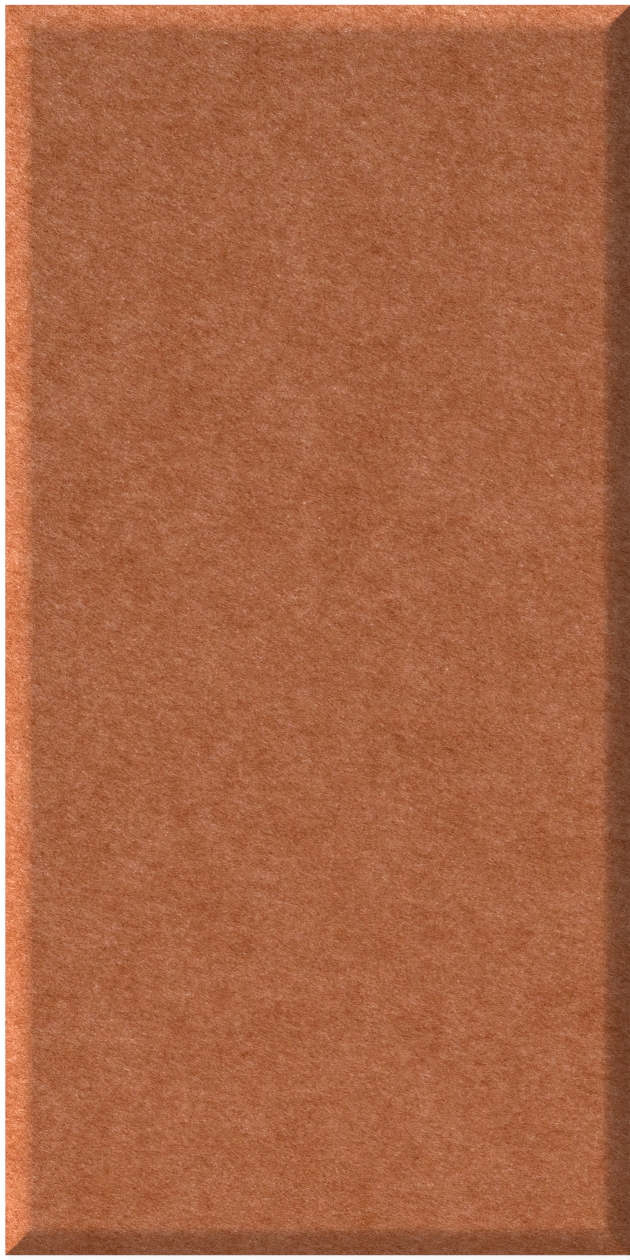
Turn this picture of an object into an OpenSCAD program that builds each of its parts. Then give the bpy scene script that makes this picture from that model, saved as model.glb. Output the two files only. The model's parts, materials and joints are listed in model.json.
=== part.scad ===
// Felt wall tile with bevelled edges.
// One board of pressed fibre, twice as long as it is wide. It lies on its back: the origin is
// the centre of the flat back, +X runs across the tile, +Y along it, and +Z points out of its face.
// The bevel leaves the face in a tight curve, the shoulder, carries on in a slacker one, the
// flank, and then runs straight down to the square edge that butts against the next tile.

/* [Tile] */
// Width of the tile
tile_width = 300; // [150:10:600]
// Length of the tile
tile_length = 600; // [300:10:1200]
// Thickness of the board
board_thickness = 12; // [12:0.5:24]

/* [Bevel] */
// Width of the bevel seen from above, shoulder and flank included
bevel_width = 13.4; // [12:0.2:14.4]
// Slope of the straight part, in degrees from the face
bevel_angle = 45; // [40:1:46]
// Radius of the shoulder
shoulder_radius = 10; // [8:0.4:11.2]
// Slope at which the shoulder hands over to the flank, in degrees from the face
shoulder_turn = 26; // [24:1:28]
// Radius of the flank
flank_radius = 20; // [18:0.5:24]

/* [Hidden] */
felt_color = [0.66, 0.39, 0.26];
// Slight change of slope where one stretch of the bevel meets the next, in degrees
crease = 1;
// How far the cutter reaches past the board
lap = 2;
// Reach of the wedges that bound each curve, longer than either of its radii
reach = 2 * flank_radius;
$fn = 96;

// Unit vector that leans out from the vertical, towards the outline, by an angle
function towards(angle) = [-sin(angle), cos(angle)];

// The bevel's section, with x = 0 at the tile's outline and y = 0 at the back
shoulder_start = [bevel_width, board_thickness];
shoulder_centre = shoulder_start - shoulder_radius * towards(crease);
shoulder_end = shoulder_centre + shoulder_radius * towards(shoulder_turn);
flank_centre = shoulder_end - flank_radius * towards(shoulder_turn + crease);
flank_end = flank_centre + flank_radius * towards(bevel_angle - crease);
edge_height = flank_end.y - flank_end.x * tan(bevel_angle);
centres = shoulder_centre - flank_centre;
centres_angle = atan2(-centres.x, centres.y);

// Wedge above a curve's centre, from the vertical round to an angle, less the curve's own disc
module outside_curve(centre, radius, angle) {
    translate(centre) difference() {
        polygon([[0, 0], reach * towards(0), reach * towards(angle)]);
        circle(r = radius);
    }
}

// Section of what is cut away along one side
module bevel_section() {
    rise = board_thickness + lap - edge_height;
    outside_curve(shoulder_centre, shoulder_radius, centres_angle);
    outside_curve(flank_centre, flank_radius, bevel_angle);
    polygon([
        [-lap, edge_height - lap * tan(bevel_angle)],
        [rise / tan(bevel_angle), board_thickness + lap],
        [-lap, board_thickness + lap]
    ]);
}

// Cutter for the side that faces -X, centred on the tile's outline there
module side_cutter(side_length) {
    rotate([90, 0, 0]) linear_extrude(side_length + 2 * lap, center = true) bevel_section();
}

// The four cuts meet in mitres at the corners
module felt_tile() {
    color(felt_color) difference() {
        translate([-tile_width / 2, -tile_length / 2, 0])
            cube([tile_width, tile_length, board_thickness]);
        for (turn = [0, 180]) {
            rotate(turn) translate([-tile_width / 2, 0, 0]) side_cutter(tile_length);
            rotate(turn + 90) translate([-tile_length / 2, 0, 0]) side_cutter(tile_width);
        }
    }
}

felt_tile();
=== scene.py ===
"""Studio scene of a pressed felt wall tile with bevelled edges.

The tile is one board of felt. Its body, the relief of its face and the loose fibres that lie on
it are modelled here in metres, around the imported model, and lit as on a copy stand: the tile lies
on its back on a pale floor and the camera looks straight down on it.
"""

import json
import logging
import math
from dataclasses import dataclass
from enum import Enum, IntEnum
from typing import Any

import bpy
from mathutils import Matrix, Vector

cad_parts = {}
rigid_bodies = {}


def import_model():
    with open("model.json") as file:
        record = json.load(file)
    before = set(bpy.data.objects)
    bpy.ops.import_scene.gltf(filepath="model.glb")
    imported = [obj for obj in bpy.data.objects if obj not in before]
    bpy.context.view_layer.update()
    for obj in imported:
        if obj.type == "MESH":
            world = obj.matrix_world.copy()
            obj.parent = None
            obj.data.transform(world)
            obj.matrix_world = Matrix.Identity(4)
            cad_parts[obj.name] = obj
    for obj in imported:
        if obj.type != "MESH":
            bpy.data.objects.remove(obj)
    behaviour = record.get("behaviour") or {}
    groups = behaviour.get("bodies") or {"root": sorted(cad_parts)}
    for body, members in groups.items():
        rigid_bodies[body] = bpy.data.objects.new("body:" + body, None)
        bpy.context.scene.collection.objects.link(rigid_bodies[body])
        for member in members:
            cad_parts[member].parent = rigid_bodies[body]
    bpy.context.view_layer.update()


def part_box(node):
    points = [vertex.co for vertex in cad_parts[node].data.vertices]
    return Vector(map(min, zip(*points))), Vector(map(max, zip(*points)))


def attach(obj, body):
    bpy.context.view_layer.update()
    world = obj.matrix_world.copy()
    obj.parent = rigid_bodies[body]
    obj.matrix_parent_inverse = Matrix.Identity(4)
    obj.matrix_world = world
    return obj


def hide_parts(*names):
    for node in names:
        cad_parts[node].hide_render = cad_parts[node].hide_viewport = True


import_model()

BOARD_NODE = "felt_tile"
BOARD_BODY = "root"
MM = 0.001
BOARD_LENGTH = 600 * MM

# These sockets share their names with others on the same node, so they go by number.
MIX_FACTOR, MIX_FIRST, MIX_SECOND, MIX_RESULT = 0, 6, 7, 2
DRAW_LOW, DRAW_HIGH, DRAW_RESULT = 2, 3, 1
PICK_LOW, PICK_HIGH, PICK_RESULT = 4, 5, 2

Colour = tuple[float, float, float]
Point = tuple[float, float, float]
Socket = bpy.types.NodeSocket

log = logging.getLogger("felt_tile")


def linear(red: int, green: int, blue: int) -> Colour:
    """Turns a colour given in screen levels into the linear values that a shader takes.

    Args:
        red: Red level, 0 to 255.
        green: Green level, 0 to 255.
        blue: Blue level, 0 to 255.

    Returns:
        The same colour in linear light.
    """
    levels = (red / 255, green / 255, blue / 255)
    return tuple(v / 12.92 if v <= 0.04045 else ((v + 0.055) / 1.055) ** 2.4 for v in levels)


def deselect_all() -> None:
    """Leaves object mode with nothing selected."""
    if bpy.context.object and bpy.context.object.mode != "OBJECT":
        bpy.ops.object.mode_set(mode="OBJECT")
    bpy.ops.object.select_all(action="DESELECT")


def make_active(piece: bpy.types.Object) -> None:
    """Selects one object alone and makes it active.

    Args:
        piece: The object.
    """
    deselect_all()
    piece.select_set(True)
    bpy.context.view_layer.objects.active = piece


class FibreShade(Enum):
    """The fibres that the felt is blended from, and the colour of each."""

    DEEP = linear(116, 39, 4)
    RUST = linear(148, 72, 30)
    BODY = linear(168, 96, 57)
    DUSTY = linear(188, 122, 91)
    PALE = linear(207, 146, 120)
    LINT = linear(255, 226, 202)

    @property
    def rgba(self) -> tuple[float, float, float, float]:
        """The colour with full alpha, as a socket takes it."""
        return (*self.value, 1.0)


class NodeSketch:
    """Adds nodes to a tree, sets them up and links them."""

    def __init__(self, tree: bpy.types.NodeTree) -> None:
        """Starts on a tree and clears it.

        Args:
            tree: The shader or geometry tree to fill.
        """
        self.tree = tree
        tree.nodes.clear()

    def add(self, kind: str, inputs: dict[Any, Any] | None = None, **settings: Any) -> bpy.types.Node:
        """Adds one node.

        Args:
            kind: The node's type name.
            inputs: Socket name or index to a value, or to the output socket that feeds it.
            **settings: Properties of the node itself.

        Returns:
            The new node.
        """
        node = self.tree.nodes.new(kind)
        for name, value in settings.items():
            setattr(node, name, value)
        for name, value in (inputs or {}).items():
            self._feed(node.inputs[name], value)
        return node

    def _feed(self, socket: Socket, value: Any) -> None:
        """Sets a socket to a value, or links it to the output that feeds it.

        Args:
            socket: The input socket.
            value: The value or the output socket.
        """
        if isinstance(value, Socket):
            self.tree.links.new(value, socket)
        else:
            socket.default_value = value

    def math(self, operation: str, first: Any, second: Any = 0.0, third: Any = 0.0) -> Socket:
        """Adds a Math node and returns its output.

        Args:
            operation: The operation's name, such as MULTIPLY.
            first: Value or socket.
            second: Value or socket.
            third: Value or socket, for the operations that take three.

        Returns:
            The result's socket.
        """
        node = self.add("ShaderNodeMath", {0: first, 1: second, 2: third}, operation=operation)
        return node.outputs[0]

    def split(self, vector: Socket) -> tuple[Socket, ...]:
        """Splits a vector into its X, Y and Z."""
        return tuple(self.add("ShaderNodeSeparateXYZ", {0: vector}).outputs)

    def join(self, **parts: Any) -> Socket:
        """Joins X, Y and Z into a vector, with 0 for each that isn't given."""
        return self.add("ShaderNodeCombineXYZ", parts).outputs["Vector"]

    def ramp(self, value: Socket, low: float, high: float, out_low: float = 0.0,
             out_high: float = 1.0) -> Socket:
        """Maps a value from one range to another, evenly, and keeps it within that range.

        Args:
            value: The value that is mapped.
            low: Start of its range.
            high: End of its range.
            out_low: Result at the start.
            out_high: Result at the end.

        Returns:
            The result's socket.
        """
        node = self.add("ShaderNodeMapRange", {
            "Value": value, "From Min": low, "From Max": high, "To Min": out_low, "To Max": out_high,
        })
        return node.outputs["Result"]

    def blend(self, factor: Any, first: Any, second: Any, mode: str = "MIX") -> Socket:
        """Blends two colours.

        Args:
            factor: How far towards the second colour, as a value or socket.
            first: Colour or socket.
            second: Colour or socket.
            mode: The blend's name, such as MIX or MULTIPLY.

        Returns:
            The blended colour's socket.
        """
        node = self.add("ShaderNodeMix", data_type="RGBA", blend_type=mode)
        for number, value in ((MIX_FACTOR, factor), (MIX_FIRST, first), (MIX_SECOND, second)):
            self._feed(node.inputs[number], value)
        return node.outputs[MIX_RESULT]


@dataclass(frozen=True)
class SoftNoise:
    """A soft, cloudy pattern that lies flat over the board."""

    scale: float
    detail: float
    roughness: float

    def add_to(self, sketch: NodeSketch, place: Socket) -> bpy.types.Node:
        """Adds the pattern to a tree.

        Args:
            sketch: The tree being filled.
            place: The place that it is drawn from.

        Returns:
            The noise node.
        """
        return sketch.add("ShaderNodeTexNoise", {
            "Vector": place, "Scale": self.scale, "Detail": self.detail, "Roughness": self.roughness,
        }, noise_dimensions="2D")


@dataclass(frozen=True)
class FeltColour:
    """The felt's shades on one scale of tone, with a slow drift along the board and a cloudy cast.

    Tone 0 is the deepest rust, 0.5 the body shade, 1 the palest pink and 1.25 the lint.
    """

    half_length: float = BOARD_LENGTH / 2
    far_end: Colour = (0.934, 0.966, 0.98)
    near_end: Colour = (1.056, 1.034, 1.015)
    near_contrast: float = 0.97
    far_contrast: float = 1.05
    middle_tone: float = 0.59
    tone_step: float = 0.25
    cast: Colour = (0.20, 0.20, 0.45)
    cloud: SoftNoise = SoftNoise(80.0, 4.0, 0.9)

    def build(self, sketch: NodeSketch, tone: Socket) -> Socket:
        """Turns a tone into a colour and tints it by its place on the board.

        Args:
            sketch: The shader tree being filled.
            tone: The tone.

        Returns:
            The colour.
        """
        place = sketch.add("ShaderNodeTexCoord").outputs["Object"]
        _, along, _ = sketch.split(place)
        share = sketch.ramp(along, -self.half_length, self.half_length)
        shades = self._shades(sketch, self._contrasted(sketch, tone, share))
        drift = sketch.blend(share, (*self.near_end, 1.0), (*self.far_end, 1.0))
        tinted = sketch.blend(1.0, shades, drift, mode="MULTIPLY")
        cloud = self.cloud.add_to(sketch, place)
        cast = sketch.add("ShaderNodeVectorMath", {
            0: cloud.outputs["Color"], 1: self.cast, 2: tuple(1 - swing / 2 for swing in self.cast),
        }, operation="MULTIPLY_ADD")
        return sketch.blend(1.0, tinted, cast.outputs[0], mode="MULTIPLY")

    def _contrasted(self, sketch: NodeSketch, tone: Socket, share: Socket) -> Socket:
        """Makes the tones stand out a little more at the far end than at the near end.

        Args:
            sketch: The shader tree being filled.
            tone: The tone.
            share: How far along the board, from 0 to 1.

        Returns:
            The tone, spread about the middle one.
        """
        contrast = sketch.ramp(share, 0.0, 1.0, self.near_contrast, self.far_contrast)
        swing = sketch.math("SUBTRACT", tone, self.middle_tone)
        return sketch.math("MULTIPLY_ADD", swing, contrast, self.middle_tone)

    def _shades(self, sketch: NodeSketch, tone: Socket) -> Socket:
        """Looks a tone up on the scale of shades.

        Args:
            sketch: The shader tree being filled.
            tone: The tone.

        Returns:
            The shade.
        """
        steps = len(FibreShade) - 1
        position = sketch.math("MULTIPLY", tone, 1 / (self.tone_step * steps))
        shades = sketch.add("ShaderNodeValToRGB", {"Fac": position})
        ramp = shades.color_ramp
        while len(ramp.elements) < len(FibreShade):
            ramp.elements.new(0.5)
        for number, (element, shade) in enumerate(zip(ramp.elements, FibreShade)):
            element.position = number / steps
            element.color = shade.rgba
        return shades.outputs["Color"]


@dataclass(frozen=True)
class FibreLay:
    """How the lay of the fibres turns from one end of the board to the other, in degrees."""

    near_turn: float = 10.0
    far_turn: float = -2.0
    length: float = BOARD_LENGTH

    def turn(self, sketch: NodeSketch, along: Socket, unit: float, share: float = 1.0) -> Socket:
        """Gives how far the fibres are turned at a place.

        Args:
            sketch: The tree being filled.
            along: Distance along the board from its middle.
            unit: The length in metres that the distance is counted in.
            share: How much of the change along the board is taken.

        Returns:
            The turn in radians, anticlockwise as seen on the face.
        """
        middle = math.radians(self.near_turn + self.far_turn) / 2
        rate = math.radians(self.far_turn - self.near_turn) / self.length * unit
        return sketch.math("MULTIPLY_ADD", along, rate * share, middle)

    def turned(self, sketch: NodeSketch, place: Socket) -> Socket:
        """Turns places back, so that a pattern drawn from them follows the lay.

        Args:
            sketch: The tree being filled.
            place: Place on the tile in millimetres.

        Returns:
            The turned place.
        """
        across, along, height = sketch.split(place)
        moved = sketch.math("MULTIPLY_ADD", along, self.turn(sketch, along, MM, 0.5), across)
        lifted = sketch.math("MULTIPLY", self.turn(sketch, along, MM), across)
        return sketch.join(X=moved, Y=sketch.math("SUBTRACT", along, lifted), Z=height)


@dataclass(frozen=True)
class StrandLayer:
    """One layer of fine strands that lie side by side in rows along one heading, in degrees."""

    heading: float
    length_mm: float
    width_mm: float
    contrast: float


@dataclass(frozen=True)
class FeltFinish:
    """The felt's colour, with painted shade beside its flecks, its fibre grain and bump, made for
    coordinates in the tile's own frame.
    """

    name: str = "pressed_felt"
    colour: FeltColour = FeltColour()
    lay: FibreLay = FibreLay()
    roughness: float = 0.95
    specular: float = 0.05
    nap_depth: float = 0.00006
    edge_height: float = 3.2 * MM
    upright_normal: float = 0.35
    ground: tuple[float, float] = (0.29, 0.89)
    mottle: SoftNoise = SoftNoise(0.025, 5.0, 1.0)
    wander: SoftNoise = SoftNoise(0.12, 4.0, 0.8)
    wander_mm: Point = (2.2, 2.2, 0.0)
    soft_streak: SoftNoise = SoftNoise(1.0, 1.0, 0.7)
    pattern_step: tuple[float, float] = (37.3, -91.7)
    first_strand: int = 1
    first_nap: int = 11
    first_fleck: int = 21
    rarity: float = 5.0
    darker: float = 0.06
    # Painted shade beside each fleck. shade is its strength against the fleck's, and the step is how far
    # it is shifted, in millimetres. It is painted shadow beside pale flecks and painted highlight beside
    # dark ones.
    shade: float = 0.2
    painted_shade_step: Point = (0.23, 0.40, 0.0)
    strands: tuple[StrandLayer, ...] = (
        StrandLayer(30.0, 1.7, 0.24, 0.06),
        StrandLayer(-2.0, 2.2, 0.24, 0.06),
        StrandLayer(-18.0, 2.4, 0.24, 0.06),
        StrandLayer(-46.0, 2.0, 0.24, 0.06),
    )
    bits: tuple[StrandLayer, ...] = (
        StrandLayer(-72.0, 0.42, 0.22, 0.32),
        StrandLayer(18.0, 0.42, 0.22, 0.32),
        StrandLayer(-31.0, 0.90, 0.22, 0.28),
        StrandLayer(-14.0, 0.75, 0.22, 0.22),
        StrandLayer(-52.0, 0.75, 0.22, 0.25),
    )
    hairs: tuple[StrandLayer, ...] = (
        StrandLayer(-8.0, 4.5, 0.22, 0.11),
        StrandLayer(-22.0, 6.0, 0.22, 0.13),
        StrandLayer(-36.0, 6.0, 0.22, 0.13),
        StrandLayer(-50.0, 4.5, 0.22, 0.11),
    )
    nap: tuple[StrandLayer, ...] = (
        StrandLayer(-20.0, 2.4, 0.6, 1.0),
        StrandLayer(-50.0, 2.4, 0.6, 1.0),
    )
    streaks: tuple[StrandLayer, ...] = (
        StrandLayer(-12.0, 13.0, 5.0, 0.18),
        StrandLayer(-24.0, 4.6, 2.8, 0.24),
        StrandLayer(-38.0, 8.0, 2.4, 0.06),
    )

    def material(self) -> bpy.types.Material:
        """Builds the material.

        Returns:
            The felt material.
        """
        material = bpy.data.materials.new(self.name)
        material.use_nodes = True
        sketch = NodeSketch(material.node_tree)
        place = self._place_mm(sketch)
        bent = self._bend(sketch, place)
        tone = self._brush(sketch, self._mottle(sketch, place), bent, self.streaks, self.first_strand)
        for number, layer in enumerate(self.strands, start=self.first_strand):
            shift = sketch.math("SUBTRACT", self._rows(sketch, bent, layer, number), 0.5)
            tone = sketch.math("MULTIPLY_ADD", shift, layer.contrast, tone)
        tone = self._flecks(sketch, tone, bent)
        height = self._brush(sketch, 0.0, bent, self.nap, self.first_nap)
        bump = sketch.add("ShaderNodeBump",
                          {"Height": height, "Strength": 1.0, "Distance": self.nap_depth})
        shader = sketch.add("ShaderNodeBsdfPrincipled", {
            "Base Color": self.colour.build(sketch, tone), "Roughness": self.roughness,
            "Specular IOR Level": self.specular, "Normal": bump.outputs["Normal"],
        })
        sketch.add("ShaderNodeOutputMaterial", {"Surface": shader.outputs["BSDF"]})
        return material

    def _place_mm(self, sketch: NodeSketch) -> Socket:
        """Gives the place on the tile in millimetres, carried on outwards down the upright edges.

        Args:
            sketch: The tree being filled.

        Returns:
            The place.
        """
        coordinates = sketch.add("ShaderNodeTexCoord")
        scale = 1 / MM
        mapping = sketch.add("ShaderNodeMapping",
                             {"Vector": coordinates.outputs["Object"], "Scale": (scale, scale, scale)})
        _, _, height = sketch.split(mapping.outputs["Vector"])
        _, _, facing = sketch.split(coordinates.outputs["Normal"])
        upright = sketch.math("LESS_THAN", sketch.math("ABSOLUTE", facing), self.upright_normal)
        drop = sketch.math("SUBTRACT", self.edge_height / MM, height)
        outward = sketch.add("ShaderNodeVectorMath", {
            0: coordinates.outputs["Normal"], "Scale": sketch.math("MULTIPLY", drop, upright),
        }, operation="SCALE")
        moved = sketch.add("ShaderNodeVectorMath", {0: mapping.outputs["Vector"], 1: outward.outputs[0]},
                           operation="ADD")
        return moved.outputs[0]

    def _bend(self, sketch: NodeSketch, place: Socket) -> Socket:
        """Turns places with the lay and shifts them about, so that the strands curve.

        Args:
            sketch: The tree being filled.
            place: Place on the tile in millimetres.

        Returns:
            The shifted place.
        """
        drift = self.wander.add_to(sketch, place)
        moved = sketch.add("ShaderNodeVectorMath", {
            0: drift.outputs["Color"], 1: self.wander_mm, 2: self.lay.turned(sketch, place),
        }, operation="MULTIPLY_ADD")
        return moved.outputs[0]

    def _mottle(self, sketch: NodeSketch, place: Socket) -> Socket:
        """Makes the soft mottling where one shade of fibre gathers.

        Args:
            sketch: The tree being filled.
            place: Place on the tile in millimetres.

        Returns:
            The felt's tone before the strands are laid.
        """
        broad = self.mottle.add_to(sketch, place)
        return sketch.ramp(broad.outputs["Fac"], 0.0, 1.0, *self.ground)

    def _flecks(self, sketch: NodeSketch, tone: Socket, place: Socket) -> Socket:
        """Lays the short bits and the long hairs: most hardly show, a few stand out dark or pale.

        Each strand's number is spread from -1 to 1 and raised to a high odd power.

        Args:
            sketch: The tree being filled.
            tone: The tone that they are added to.
            place: Bent place on the tile in millimetres.

        Returns:
            The tone with the flecks in it, a painted shadow beside each pale fleck and a painted
            highlight beside each dark one.
        """
        # The second place draws each fleck again, shifted, weaker and of opposite sign. That is painted
        # shadow beside pale flecks and painted highlight beside dark ones.
        beside = sketch.add("ShaderNodeVectorMath", {0: place, 1: self.painted_shade_step}, operation="ADD")
        for number, layer in enumerate(self.bits + self.hairs, start=self.first_fleck):
            for spot, share in ((place, 1.0), (beside.outputs[0], -self.shade)):
                own = sketch.math("MULTIPLY_ADD", self._rows(sketch, spot, layer, number),
                                  2.0, -1.0 - self.darker)
                tone = sketch.math("MULTIPLY_ADD", sketch.math("POWER", own, self.rarity),
                                   layer.contrast * share, tone)
        return tone

    def _along(self, sketch: NodeSketch, place: Socket, layer: StrandLayer, number: int) -> Socket:
        """Turns and stretches places so that one strand is one unit long and one wide.

        Args:
            sketch: The tree being filled.
            place: Place on the tile in millimetres.
            layer: The strands' heading and size.
            number: The layer's number, which moves its pattern away from the others.

        Returns:
            The place in units of the strand.
        """
        step_x, step_y = self.pattern_step
        along = sketch.add("ShaderNodeMapping", {
            "Vector": place,
            "Location": (step_x * number, step_y * number, 0.0),
            "Rotation": (0.0, 0.0, math.radians(layer.heading)),
            "Scale": (layer.length_mm, layer.width_mm, 1.0),
        }, vector_type="TEXTURE")
        return along.outputs["Vector"]

    def _brush(self, sketch: NodeSketch, tone: Any, place: Socket,
               layers: tuple[StrandLayer, ...], first: int) -> Any:
        """Adds layers of soft streaks.

        Args:
            sketch: The tree being filled.
            tone: The tone or height that they are added to.
            place: Bent place on the tile in millimetres.
            layers: The streaks' headings, sizes and strengths.
            first: The first layer's number.

        Returns:
            The tone or height with the streaks in it.
        """
        for number, layer in enumerate(layers, start=first):
            noise = self.soft_streak.add_to(sketch, self._along(sketch, place, layer, number))
            shift = sketch.math("SUBTRACT", noise.outputs["Fac"], 0.5)
            tone = sketch.math("MULTIPLY_ADD", shift, layer.contrast, tone)
        return tone

    def _rows(self, sketch: NodeSketch, place: Socket, layer: StrandLayer, number: int) -> Socket:
        """Lays rows of strands, each row shifted on its own, and draws a number for each strand.

        Args:
            sketch: The tree being filled.
            place: Bent place on the tile in millimetres.
            layer: The strands' heading and size.
            number: The layer's number.

        Returns:
            A number from 0 to 1 that is the same all over one strand.
        """
        along, across, _ = sketch.split(self._along(sketch, place, layer, number))
        row = sketch.math("FLOOR", across)
        start = sketch.add("ShaderNodeTexWhiteNoise", {"W": row}, noise_dimensions="1D")
        column = sketch.math("FLOOR", sketch.math("ADD", along, start.outputs["Value"]))
        own = sketch.add("ShaderNodeTexWhiteNoise", {"Vector": sketch.join(X=column, Y=row)},
                         noise_dimensions="2D")
        return own.outputs["Value"]


@dataclass(frozen=True)
class LooseFibreFinish:
    """Finish of the fibres that lie loose on the felt, each of its own tone."""

    name: str = "loose_fibre"
    tone_name: str = "tone"
    colour: FeltColour = FeltColour()
    roughness: float = 0.9
    specular: float = 0.1

    def material(self) -> bpy.types.Material:
        """Builds the material.

        Returns:
            A material that reads each fibre's tone from its mesh.
        """
        material = bpy.data.materials.new(self.name)
        material.use_nodes = True
        sketch = NodeSketch(material.node_tree)
        own = sketch.add("ShaderNodeAttribute", attribute_type="GEOMETRY", attribute_name=self.tone_name)
        shader = sketch.add("ShaderNodeBsdfPrincipled", {
            "Base Color": self.colour.build(sketch, own.outputs["Fac"]), "Roughness": self.roughness,
            "Specular IOR Level": self.specular,
        })
        sketch.add("ShaderNodeOutputMaterial", {"Surface": shader.outputs["BSDF"]})
        return material


@dataclass(frozen=True)
class BevelProfile:
    """Section of the bevel: a tight shoulder, a slacker flank and a straight run to the edge.

    Slopes are in degrees down from the face. The shoulder starts at a faint crease.
    """

    width: float = 13.4 * MM
    angle: float = 45.0
    shoulder_start: float = 4.0
    shoulder_turn: float = 26.0
    shoulder_radius: float = 10.8 * MM
    flank_radius: float = 21.6 * MM

    @staticmethod
    def _lean(angle: float) -> Vector:
        """Gives the outward unit vector of a surface that slopes by an angle in degrees."""
        turn = math.radians(angle)
        return Vector((-math.sin(turn), math.cos(turn)))

    def _arc(self, start: Vector, radius: float, low: float, high: float, steps: int) -> list[Vector]:
        """Gives points along one curve of the section, after its start.

        Args:
            start: Where the curve starts, as distance in from the outline and height.
            radius: The curve's radius.
            low: Slope at its start, in degrees.
            high: Slope at its end, in degrees.
            steps: How many points it is given.

        Returns:
            The points, the last of them at the end of the curve.
        """
        centre = start - radius * self._lean(low)
        return [centre + radius * self._lean(low + (high - low) * k / steps)
                for k in range(1, steps + 1)]

    def stops(self, thickness: float, curve_steps: int, run_steps: int) -> list[Vector]:
        """Gives the bevel's section from the face down to the top of the square edge.

        Args:
            thickness: The board's thickness.
            curve_steps: Points on each of the two curves.
            run_steps: Points on the straight run.

        Returns:
            Points as distance in from the outline and height above the back.
        """
        start = Vector((self.width, thickness))
        shoulder = self._arc(start, self.shoulder_radius, self.shoulder_start, self.shoulder_turn,
                             curve_steps)
        flank = self._arc(shoulder[-1], self.flank_radius, self.shoulder_turn, self.angle, curve_steps)
        top = flank[-1]
        foot = Vector((0.0, top.y - top.x * math.tan(math.radians(self.angle))))
        run = [top.lerp(foot, k / run_steps) for k in range(1, run_steps + 1)]
        return shoulder + flank + run


@dataclass(frozen=True)
class Unevenness:
    """A slight cloudy rise and fall of the board's surface."""

    name: str
    scale: float
    depth: float
    detail: int = 2

    def press(self, board: bpy.types.Object) -> None:
        """Moves the board's surface in and out.

        Args:
            board: The board, in object mode.
        """
        cloud = bpy.data.textures.new(f"felt_{self.name}", type="CLOUDS")
        cloud.noise_scale = self.scale
        cloud.noise_depth = self.detail
        displace = board.modifiers.new(self.name, "DISPLACE")
        displace.texture = cloud
        displace.texture_coords = "LOCAL"
        displace.mid_level = 0.5
        displace.strength = self.depth
        make_active(board)
        bpy.ops.object.modifier_apply(modifier=self.name)


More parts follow.
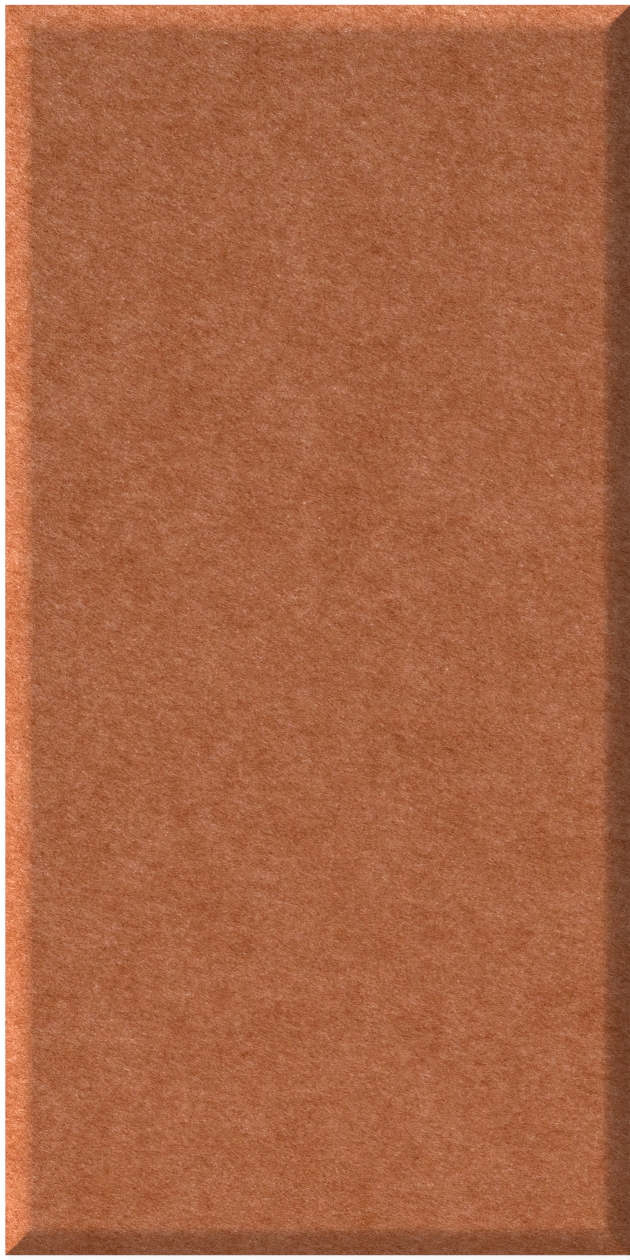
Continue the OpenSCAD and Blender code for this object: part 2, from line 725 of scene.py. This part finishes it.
@dataclass
class FeltBoard:
    """The board itself: one closed body with a flat field, four bevels, square edges and a back."""

    size: Vector
    profile: BevelProfile
    finish: FeltFinish
    name: str = "felt_board"
    cell: float = 1.6 * MM
    back_cell: float = 7 * MM
    curve_steps: int = 5
    run_steps: int = 3
    edge_steps: int = 3
    arris: float = 0.35 * MM
    back_margin: float = 3 * MM
    back_inset: float = 6 * MM
    rim: float = 0.2 * MM
    weld: float = 0.001 * MM
    smooth_angle: float = 35.0
    relief: tuple[Unevenness, ...] = (
        Unevenness("swell", 22 * MM, 0.03 * MM),
        Unevenness("dimple", 6 * MM, 0.008 * MM),
    )

    def build(self) -> bpy.types.Object:
        """Models the board and dresses it.

        Returns:
            The finished board.
        """
        deselect_all()
        board = self._field()
        self._skirt()
        self._close_back(board)
        self._set_order(board)
        for unevenness in self.relief:
            unevenness.press(board)
        bpy.ops.object.shade_smooth_by_angle(angle=math.radians(self.smooth_angle))
        board.data.materials.clear()
        board.data.materials.append(self.finish.material())
        return board

    def _grid(self, width: float, length: float, height: float, cell: float) -> bpy.types.Object:
        """Adds a flat grid and leaves it in edit mode, all selected.

        Args:
            width: Size across.
            length: Size along.
            height: Height of its plane.
            cell: Size of its cells, about.

        Returns:
            The grid's object.
        """
        bpy.ops.mesh.primitive_grid_add(
            x_subdivisions=round(width / cell), y_subdivisions=round(length / cell),
            size=1.0, location=(0.0, 0.0, height), enter_editmode=True)
        bpy.ops.transform.resize(value=(width, length, 1.0), center_override=(0.0, 0.0, height))
        return bpy.context.object

    def _field(self) -> bpy.types.Object:
        """Lays the flat field of the face, a narrow rim short of the bevel.

        Returns:
            The board, begun and left in edit mode.
        """
        inset = 2 * (self.profile.width + self.rim)
        board = self._grid(self.size.x - inset, self.size.y - inset, self.size.z, self.cell)
        board.name = board.data.name = self.name
        return board

    def _skirt(self) -> None:
        """Draws the field's border out over a flat rim, then down the bevel and the square edge."""
        self._select_borders()
        shoulder = Vector((self.profile.width, self.size.z))
        stops = [shoulder, *self.profile.stops(self.size.z, self.curve_steps, self.run_steps)]
        foot = stops[-1]
        edge = [Vector((0.0, foot.y * (1 - k / self.edge_steps) + self.arris * k / self.edge_steps))
                for k in range(1, self.edge_steps + 1)]
        under = [Vector((self.arris, 0.0)), Vector((self.back_margin, 0.0))]
        inset, height = self.profile.width + self.rim, self.size.z
        for stop in stops + edge + under:
            self._draw_border(inset, height, stop)
            inset, height = stop

    def _select_borders(self) -> None:
        """Selects the open borders of the mesh in edit mode."""
        bpy.ops.mesh.select_mode(type="EDGE")
        bpy.ops.mesh.select_all(action="DESELECT")
        bpy.ops.mesh.select_non_manifold(extend=False, use_wire=False, use_multi_face=False,
                                         use_non_contiguous=False, use_verts=False)

    def _draw_border(self, inset: float, height: float, stop: Vector) -> None:
        """Extrudes the selected border once.

        Args:
            inset: The border's distance in from the outline.
            height: The border's height.
            stop: Where it goes, as distance in from the outline and height.
        """
        bpy.ops.mesh.extrude_edges_move(
            TRANSFORM_OT_translate={"value": (0.0, 0.0, stop.y - height)})
        across = (self.size.x / 2 - stop.x) / (self.size.x / 2 - inset)
        along = (self.size.y / 2 - stop.x) / (self.size.y / 2 - inset)
        bpy.ops.transform.resize(value=(across, along, 1.0), center_override=(0.0, 0.0, stop.y))

    def _close_back(self, board: bpy.types.Object) -> None:
        """Lays a coarser grid for the back and bridges it to the border.

        Args:
            board: The board, in edit mode.
        """
        bpy.ops.object.mode_set(mode="OBJECT")
        deselect_all()
        inset = 2 * self.back_inset
        back = self._grid(self.size.x - inset, self.size.y - inset, 0.0, self.back_cell)
        bpy.ops.mesh.flip_normals()
        bpy.ops.object.mode_set(mode="OBJECT")
        make_active(board)
        back.select_set(True)
        bpy.ops.object.join()
        bpy.ops.object.mode_set(mode="EDIT")
        self._select_borders()
        bpy.ops.mesh.bridge_edge_loops()
        bpy.ops.mesh.select_all(action="SELECT")
        bpy.ops.mesh.remove_doubles(threshold=self.weld)
        bpy.ops.mesh.normals_make_consistent(inside=False)
        bpy.ops.object.mode_set(mode="OBJECT")
        bpy.ops.object.transform_apply(location=True, rotation=True, scale=True)

    def _set_order(self, board: bpy.types.Object) -> None:
        """Numbers the points and faces by their place.

        Extruding numbers them differently on each run, and the loose fibres are strewn by number.

        Args:
            board: The closed board, in object mode.
        """
        drawn = board.data
        points = [tuple(point.co) for point in drawn.vertices]
        order = sorted(range(len(points)), key=points.__getitem__)
        number = {old: new for new, old in enumerate(order)}
        faces = []
        for face in drawn.polygons:
            corners = [number[point] for point in face.vertices]
            first = corners.index(min(corners))
            faces.append(corners[first:] + corners[:first])
        board.data = bpy.data.meshes.new(self.name)
        board.data.from_pydata([points[old] for old in order], [], sorted(faces))
        bpy.data.meshes.remove(drawn)
        board.data.name = self.name


@dataclass
class FibreShape:
    """One straight fibre, thinner towards its tip, modelled along +X about its middle."""

    name: str
    taper: float
    length: float = 3.2 * MM
    radius: float = 0.10 * MM
    sides: int = 3
    tip_normal: float = 0.9
    smooth_angle: float = 70.0

    def build(self, store: bpy.types.Collection) -> bpy.types.Object:
        """Models the fibre.

        Args:
            store: The collection that it is kept in.

        Returns:
            The fibre's object.
        """
        deselect_all()
        bpy.ops.mesh.primitive_cylinder_add(
            vertices=self.sides, radius=self.radius, depth=self.length,
            location=(0.0, 0.0, 0.0), rotation=(0.0, math.pi / 2, 0.0))
        fibre = bpy.context.object
        fibre.name = fibre.data.name = self.name
        bpy.ops.object.transform_apply(location=True, rotation=True, scale=True)
        for face in fibre.data.polygons:
            face.select = face.normal.x > self.tip_normal
        bpy.ops.object.mode_set(mode="EDIT")
        bpy.ops.mesh.select_mode(type="FACE")
        bpy.ops.transform.resize(value=(1.0, self.taper, self.taper),
                                 center_override=(self.length / 2, 0.0, 0.0))
        bpy.ops.object.mode_set(mode="OBJECT")
        bpy.ops.object.shade_smooth_by_angle(angle=math.radians(self.smooth_angle))
        for owner in list(fibre.users_collection):
            owner.objects.unlink(fibre)
        store.objects.link(fibre)
        return fibre


class Draw(IntEnum):
    """The random draws made for each fibre, each from a stream of its own."""

    SWING = 1
    SECOND_SWING = 2
    WILD_HEADING = 3
    WILDNESS = 4
    SINK = 5
    PITCH = 6
    LENGTH = 7
    SHAPE = 8
    GIRTH = 9
    PALER = 10
    DARKER = 11


@dataclass
class FibreLayer:
    """A scatter of loose fibres that lie on the board, partly sunk in it.

    Headings, spread and pitch are in degrees, and density is in fibres to the square metre.
    """

    name: str
    finish: LooseFibreFinish
    shapes: bpy.types.Collection
    seed: int
    crease: float
    density: float = 120000.0
    tone: tuple[float, float] = (0.45, 0.36)
    main_heading: float = -25.0
    spread: float = 30.0
    wild_share: float = 0.18
    sink: tuple[float, float] = (-0.03 * MM, 0.0)
    length: tuple[float, float] = (0.35, 1.1)
    girth: tuple[float, float] = (0.5, 0.9)
    flatness: float = 0.35
    pitch: float = 0.8
    margin: float = 1.5 * MM
    lowest_normal: float = 0.2
    crease_reach: float = 1.6 * MM
    crease_length: float = 0.25
    lay: FibreLay = FibreLay()

    def build(self, board: bpy.types.Object) -> bpy.types.Object:
        """Scatters the fibres.

        Args:
            board: The board that they lie on.

        Returns:
            One mesh of all the layer's fibres, each of them closed.
        """
        deselect_all()
        layer = board.copy()
        layer.data = board.data.copy()
        layer.name = layer.data.name = self.name
        bpy.context.scene.collection.objects.link(layer)
        make_active(layer)
        scatter = layer.modifiers.new("scatter", "NODES")
        scatter.node_group = self._tree(board.dimensions)
        bpy.ops.object.modifier_apply(modifier="scatter")
        layer.data.materials.clear()
        layer.data.materials.append(self.finish.material())
        return layer

    def _seed(self, draw: Draw) -> int:
        """Gives the seed of one of the layer's random draws."""
        return self.seed * 100 + draw

    def _random(self, sketch: NodeSketch, low: float, high: float, draw: Draw) -> Socket:
        """Gives each fibre its own random number.

        Args:
            sketch: The tree being filled.
            low: Least value.
            high: Greatest value.
            draw: What the number is for.

        Returns:
            The number's socket.
        """
        node = sketch.add("FunctionNodeRandomValue",
                          {DRAW_LOW: low, DRAW_HIGH: high, "Seed": self._seed(draw)},
                          data_type="FLOAT")
        return node.outputs[DRAW_RESULT]

    def _heading(self, sketch: NodeSketch, along: Socket) -> Socket:
        """Points most fibres near the main heading, turned with the lay, and the rest anywhere.

        Args:
            sketch: The tree being filled.
            along: Distance along the board from its middle.

        Returns:
            A level unit vector.
        """
        spread = math.radians(self.spread)
        near = sketch.math("ADD", self._random(sketch, -spread, spread, Draw.SWING),
                           self._random(sketch, -spread, spread, Draw.SECOND_SWING))
        lay = self.lay.turn(sketch, along, 1.0)
        aimed = sketch.math("ADD", sketch.math("ADD", near, math.radians(self.main_heading)), lay)
        wild = self._random(sketch, -math.pi, math.pi, Draw.WILD_HEADING)
        is_wild = sketch.math("LESS_THAN", self._random(sketch, 0.0, 1.0, Draw.WILDNESS),
                              self.wild_share)
        turn = sketch.math("ADD", sketch.math("MULTIPLY", is_wild, wild),
                           sketch.math("MULTIPLY", sketch.math("SUBTRACT", 1.0, is_wild), aimed))
        return sketch.join(X=sketch.math("COSINE", turn), Y=sketch.math("SINE", turn))

    def _inset(self, sketch: NodeSketch, place: tuple[Socket, ...], size: Vector) -> Socket:
        """Measures how far in from the board's outline each fibre is.

        Args:
            sketch: The tree being filled.
            place: The fibre's place by its parts.
            size: The board's size.

        Returns:
            The distance in from the nearest side.
        """
        sides = [sketch.math("SUBTRACT", side / 2, sketch.math("ABSOLUTE", part))
                 for part, side in zip(place, size.xy)]
        return sketch.math("MINIMUM", *sides)

    def _shortened(self, sketch: NodeSketch, inset: Socket) -> Socket:
        """Draws each fibre's length, shorter beside the crease so that few bridge it.

        Args:
            sketch: The tree being filled.
            inset: Distance in from the board's outline.

        Returns:
            The fibre's length as a share of the shape's.
        """
        away = sketch.math("ABSOLUTE", sketch.math("SUBTRACT", inset, self.crease))
        share = sketch.ramp(away, 0.0, self.crease_reach, self.crease_length, 1.0)
        return sketch.math("MULTIPLY", self._random(sketch, *self.length, Draw.LENGTH), share)

    def _points(self, sketch: NodeSketch, surface: Socket) -> bpy.types.Node:
        """Strews points over the face and the bevels, and none on the upright edges or the back.

        Args:
            sketch: The tree being filled.
            surface: The board's mesh.

        Returns:
            The node that gives the points and the surface's normal at each.
        """
        _, _, upward = sketch.split(sketch.add("GeometryNodeInputNormal").outputs["Normal"])
        faces = sketch.math("GREATER_THAN", upward, self.lowest_normal)
        return sketch.add("GeometryNodeDistributePointsOnFaces", {
            "Mesh": surface, "Selection": faces, "Density": self.density, "Seed": self.seed,
        }, distribute_method="RANDOM")

    def _turned(self, sketch: NodeSketch, heading: Socket, normal: Socket) -> Socket:
        """Lays each fibre flat on the surface along its heading, with its nose a little up or down.

        Args:
            sketch: The tree being filled.
            heading: The fibre's heading, a level vector.
            normal: The surface's normal.

        Returns:
            The fibre's rotation.
        """
        level = sketch.add("FunctionNodeAlignRotationToVector", {"Vector": heading},
                           axis="X", pivot_axis="Z")
        laid = sketch.add("FunctionNodeAlignRotationToVector",
                          {"Rotation": level.outputs[0], "Vector": normal}, axis="Z")
        pitch = math.radians(self.pitch)
        nod = sketch.join(Y=self._random(sketch, -pitch, pitch, Draw.PITCH))
        nod_turn = sketch.add("FunctionNodeEulerToRotation", {"Euler": nod})
        turned = sketch.add("FunctionNodeRotateRotation", {
            "Rotation": laid.outputs[0], "Rotate By": nod_turn.outputs[0],
        }, rotation_space="LOCAL")
        return turned.outputs[0]

    def _stretch(self, sketch: NodeSketch, inset: Socket) -> Socket:
        """Draws each fibre's length and girth, and flattens it.

        Args:
            sketch: The tree being filled.
            inset: Distance in from the board's outline.

        Returns:
            The fibre's scale along its own axes.
        """
        girth = self._random(sketch, *self.girth, Draw.GIRTH)
        return sketch.join(X=self._shortened(sketch, inset), Y=girth,
                           Z=sketch.math("MULTIPLY", girth, self.flatness))

    def _toned(self, sketch: NodeSketch, fibres: Socket) -> Socket:
        """Gives each fibre its own tone, which its finish reads.

        Args:
            sketch: The tree being filled.
            fibres: The fibres.

        Returns:
            The fibres with their tones.
        """
        middle, spread = self.tone
        swing = sketch.math("SUBTRACT", self._random(sketch, 0.0, spread, Draw.PALER),
                            self._random(sketch, 0.0, spread, Draw.DARKER))
        toned = sketch.add("GeometryNodeStoreNamedAttribute", {
            "Geometry": fibres, "Name": self.finish.tone_name,
            "Value": sketch.math("ADD", swing, middle),
        }, data_type="FLOAT", domain="INSTANCE")
        return toned.outputs[0]

    def _tree(self, size: Vector) -> bpy.types.NodeTree:
        """Builds the node tree that scatters the fibres.

        Args:
            size: The board's size.

        Returns:
            The geometry node tree.
        """
        tree = bpy.data.node_groups.new(f"{self.name}_scatter", "GeometryNodeTree")
        tree.interface.new_socket("Geometry", in_out="INPUT", socket_type="NodeSocketGeometry")
        tree.interface.new_socket("Geometry", in_out="OUTPUT", socket_type="NodeSocketGeometry")
        sketch = NodeSketch(tree)
        source = sketch.add("NodeGroupInput")
        points = self._points(sketch, source.outputs[0])
        place = sketch.split(sketch.add("GeometryNodeInputPosition").outputs["Position"])
        _, along, _ = place
        inset = self._inset(sketch, place, size)
        kept = sketch.add("GeometryNodeDeleteGeometry", {
            "Geometry": points.outputs["Points"],
            "Selection": sketch.math("LESS_THAN", inset, self.margin),
        }, domain="POINT")
        lift = sketch.add("ShaderNodeVectorMath", {
            0: points.outputs["Normal"], "Scale": self._random(sketch, *self.sink, Draw.SINK),
        }, operation="SCALE")
        sunk = sketch.add("GeometryNodeSetPosition",
                          {"Geometry": kept.outputs[0], "Offset": lift.outputs[0]})
        shapes = sketch.add("GeometryNodeCollectionInfo", {
            "Collection": self.shapes, "Separate Children": True, "Reset Children": True,
        })
        pick = sketch.add("FunctionNodeRandomValue", {
            PICK_LOW: 0, PICK_HIGH: len(self.shapes.objects) - 1, "Seed": self._seed(Draw.SHAPE),
        }, data_type="INT")
        heading = self._heading(sketch, along)
        placed = sketch.add("GeometryNodeInstanceOnPoints", {
            "Points": sunk.outputs[0], "Instance": shapes.outputs[0], "Pick Instance": True,
            "Instance Index": pick.outputs[PICK_RESULT],
            "Rotation": self._turned(sketch, heading, points.outputs["Normal"]),
            "Scale": self._stretch(sketch, inset),
        })
        toned = self._toned(sketch, placed.outputs[0])
        real = sketch.add("GeometryNodeRealizeInstances", {"Geometry": toned})
        sketch.add("NodeGroupOutput", {0: real.outputs[0]})
        return tree


@dataclass
class LooseFibres:
    """All that lies loose on the board: layers of fibres and a little pale lint."""

    finish: LooseFibreFinish
    crease: float
    layers: int = 4
    tapers: tuple[float, ...] = (0.8, 0.5, 0.3)
    lint_density: float = 2400.0
    lint_tone: tuple[float, float] = (1.15, 0.25)
    lint_length: tuple[float, float] = (0.12, 0.4)
    lint_girth: tuple[float, float] = (1.0, 2.2)

    def build(self, board: bpy.types.Object) -> list[bpy.types.Object]:
        """Models the fibres' shapes and scatters them.

        Args:
            board: The board that they lie on.

        Returns:
            The layers of fibres, and last the lint.
        """
        store = bpy.data.collections.new("fibre_shapes")
        for number, taper in enumerate(self.tapers):
            FibreShape(f"fibre_{number}", taper).build(store)
        layers = [FibreLayer(f"loose_fibres_{number}", self.finish, store, number, self.crease)
                  for number in range(1, self.layers + 1)]
        layers.append(FibreLayer("lint", self.finish, store, self.layers + 1, self.crease,
                                 density=self.lint_density, tone=self.lint_tone,
                                 length=self.lint_length, girth=self.lint_girth))
        pieces = [layer.build(board) for layer in layers]
        for shape in list(store.objects):
            bpy.data.objects.remove(shape)
        return pieces


@dataclass(frozen=True)
class Softlight:
    """A broad soft lamp, far away, with its angles in degrees."""

    name: str
    azimuth: float
    elevation: float
    level: float
    breadth: float
    tint: Colour

    def build(self) -> bpy.types.Object:
        """Adds the lamp.

        Returns:
            The lamp's object.
        """
        turn, rise = math.radians(self.azimuth), math.radians(self.elevation)
        towards = Vector((math.cos(turn) * math.cos(rise), math.sin(turn) * math.cos(rise),
                          math.sin(rise)))
        deselect_all()
        bpy.ops.object.light_add(type="SUN", location=towards)
        lamp = bpy.context.object
        lamp.name = lamp.data.name = self.name
        lamp.rotation_euler = towards.to_track_quat("Z", "Y").to_euler()
        lamp.data.energy = self.level * math.pi
        lamp.data.angle = math.radians(self.breadth)
        lamp.data.color = self.tint
        return lamp


@dataclass
class Studio:
    """Floor, lamps, surroundings and camera.

    The view's length is measured on the level plane at view_height.
    """

    lamps: tuple[Softlight, ...] = (
        Softlight("key_upper", 118.4, 15.0, 1.54, 40.0, (1.0, 1.0, 1.0)),
        Softlight("key_left", 183.0, 11.0, 0.83, 40.0, (1.115, 1.0, 0.875)),
    )
    ambient: float = 0.433
    ambient_tint: Colour = (0.93, 1.0, 1.06)
    floor_level: float = -0.4 * MM
    floor_size: float = 12.0
    paper: Colour = (0.52, 0.50, 0.46)
    seen_paper: Colour = (0.22, 0.22, 0.22)
    seen_glow: float = 0.84
    view_length: float = 604.5 * MM
    view_height: float = 3.0 * MM
    view_shift: float = -1.35 * MM
    lens_mm: float = 650.0
    sensor_mm: float = 36.0
    clip: tuple[float, float] = (0.1, 100.0)

    def build(self) -> None:
        """Sets the whole studio up."""
        self._floor()
        for lamp in self.lamps:
            lamp.build()
        self._world()
        self._camera()

    def _sees_white(self, sketch: NodeSketch) -> Socket:
        """Tells which rays see the background directly, or by gloss or through glass.

        Args:
            sketch: The tree being filled.

        Returns:
            1 for those rays and 0 for all others.
        """
        path = sketch.add("ShaderNodeLightPath")
        seen = sketch.math("MAXIMUM", path.outputs["Is Camera Ray"], path.outputs["Is Glossy Ray"])
        return sketch.math("MAXIMUM", seen, path.outputs["Is Transmission Ray"])

    def _floor(self) -> None:
        """Lays the pale floor, which is seen as white but keeps the tile's shadow."""
        deselect_all()
        bpy.ops.mesh.primitive_plane_add(size=self.floor_size, location=(0.0, 0.0, self.floor_level))
        floor = bpy.context.object
        floor.name = floor.data.name = "studio_floor"
        bpy.ops.object.transform_apply(location=True, rotation=True, scale=True)
        material = bpy.data.materials.new("pale_floor")
        material.use_nodes = True
        sketch = NodeSketch(material.node_tree)
        paper = sketch.add("ShaderNodeBsdfDiffuse", {"Color": (*self.paper, 1.0)})
        dim = sketch.add("ShaderNodeBsdfDiffuse", {"Color": (*self.seen_paper, 1.0)})
        glow = sketch.add("ShaderNodeEmission",
                          {"Color": (1.0, 1.0, 1.0, 1.0), "Strength": self.seen_glow})
        lit = sketch.add("ShaderNodeAddShader", {0: dim.outputs[0], 1: glow.outputs[0]})
        pick = sketch.add("ShaderNodeMixShader", {
            0: self._sees_white(sketch), 1: paper.outputs[0], 2: lit.outputs[0],
        })
        sketch.add("ShaderNodeOutputMaterial", {"Surface": pick.outputs[0]})
        floor.data.materials.append(material)

    def _world(self) -> None:
        """Surrounds the scene with soft light, and with white where it is seen."""
        world = bpy.data.worlds.new("studio")
        bpy.context.scene.world = world
        world.use_nodes = True
        sketch = NodeSketch(world.node_tree)
        soft = sketch.add("ShaderNodeBackground",
                          {"Color": (*self.ambient_tint, 1.0), "Strength": self.ambient})
        white = sketch.add("ShaderNodeBackground", {"Color": (1.0, 1.0, 1.0, 1.0), "Strength": 1.0})
        pick = sketch.add("ShaderNodeMixShader",
                          {0: self._sees_white(sketch), 1: soft.outputs[0], 2: white.outputs[0]})
        sketch.add("ShaderNodeOutputWorld", {"Surface": pick.outputs[0]})

    def _camera(self) -> None:
        """Hangs the camera straight above the tile."""
        distance = self.view_length * self.lens_mm / self.sensor_mm
        deselect_all()
        bpy.ops.object.camera_add(location=(self.view_shift, 0.0, distance + self.view_height),
                                  rotation=(0.0, 0.0, 0.0))
        camera = bpy.context.object
        camera.name = camera.data.name = "camera"
        camera.data.lens = self.lens_mm
        camera.data.sensor_width = self.sensor_mm
        camera.data.clip_start, camera.data.clip_end = self.clip
        bpy.context.scene.camera = camera


def dress(piece: bpy.types.Object) -> None:
    """Makes a piece ride with the tile, and reports it.

    Args:
        piece: The finished piece.
    """
    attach(piece, BOARD_BODY)
    piece.data.calc_loop_triangles()
    log.info("%s: %d triangles", piece.name, len(piece.data.loop_triangles))


def main() -> None:
    """Builds the tile, its loose fibres and the studio."""
    logging.basicConfig(level=logging.INFO, format="%(name)s: %(message)s")
    low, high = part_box(BOARD_NODE)
    profile = BevelProfile()
    board = FeltBoard(high - low, profile, FeltFinish()).build()
    dress(board)
    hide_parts(BOARD_NODE)
    for piece in LooseFibres(LooseFibreFinish(), profile.width).build(board):
        dress(piece)
    Studio().build()
    bpy.context.scene.view_settings.view_transform = "Standard"


if __name__ == "__main__":
    main()
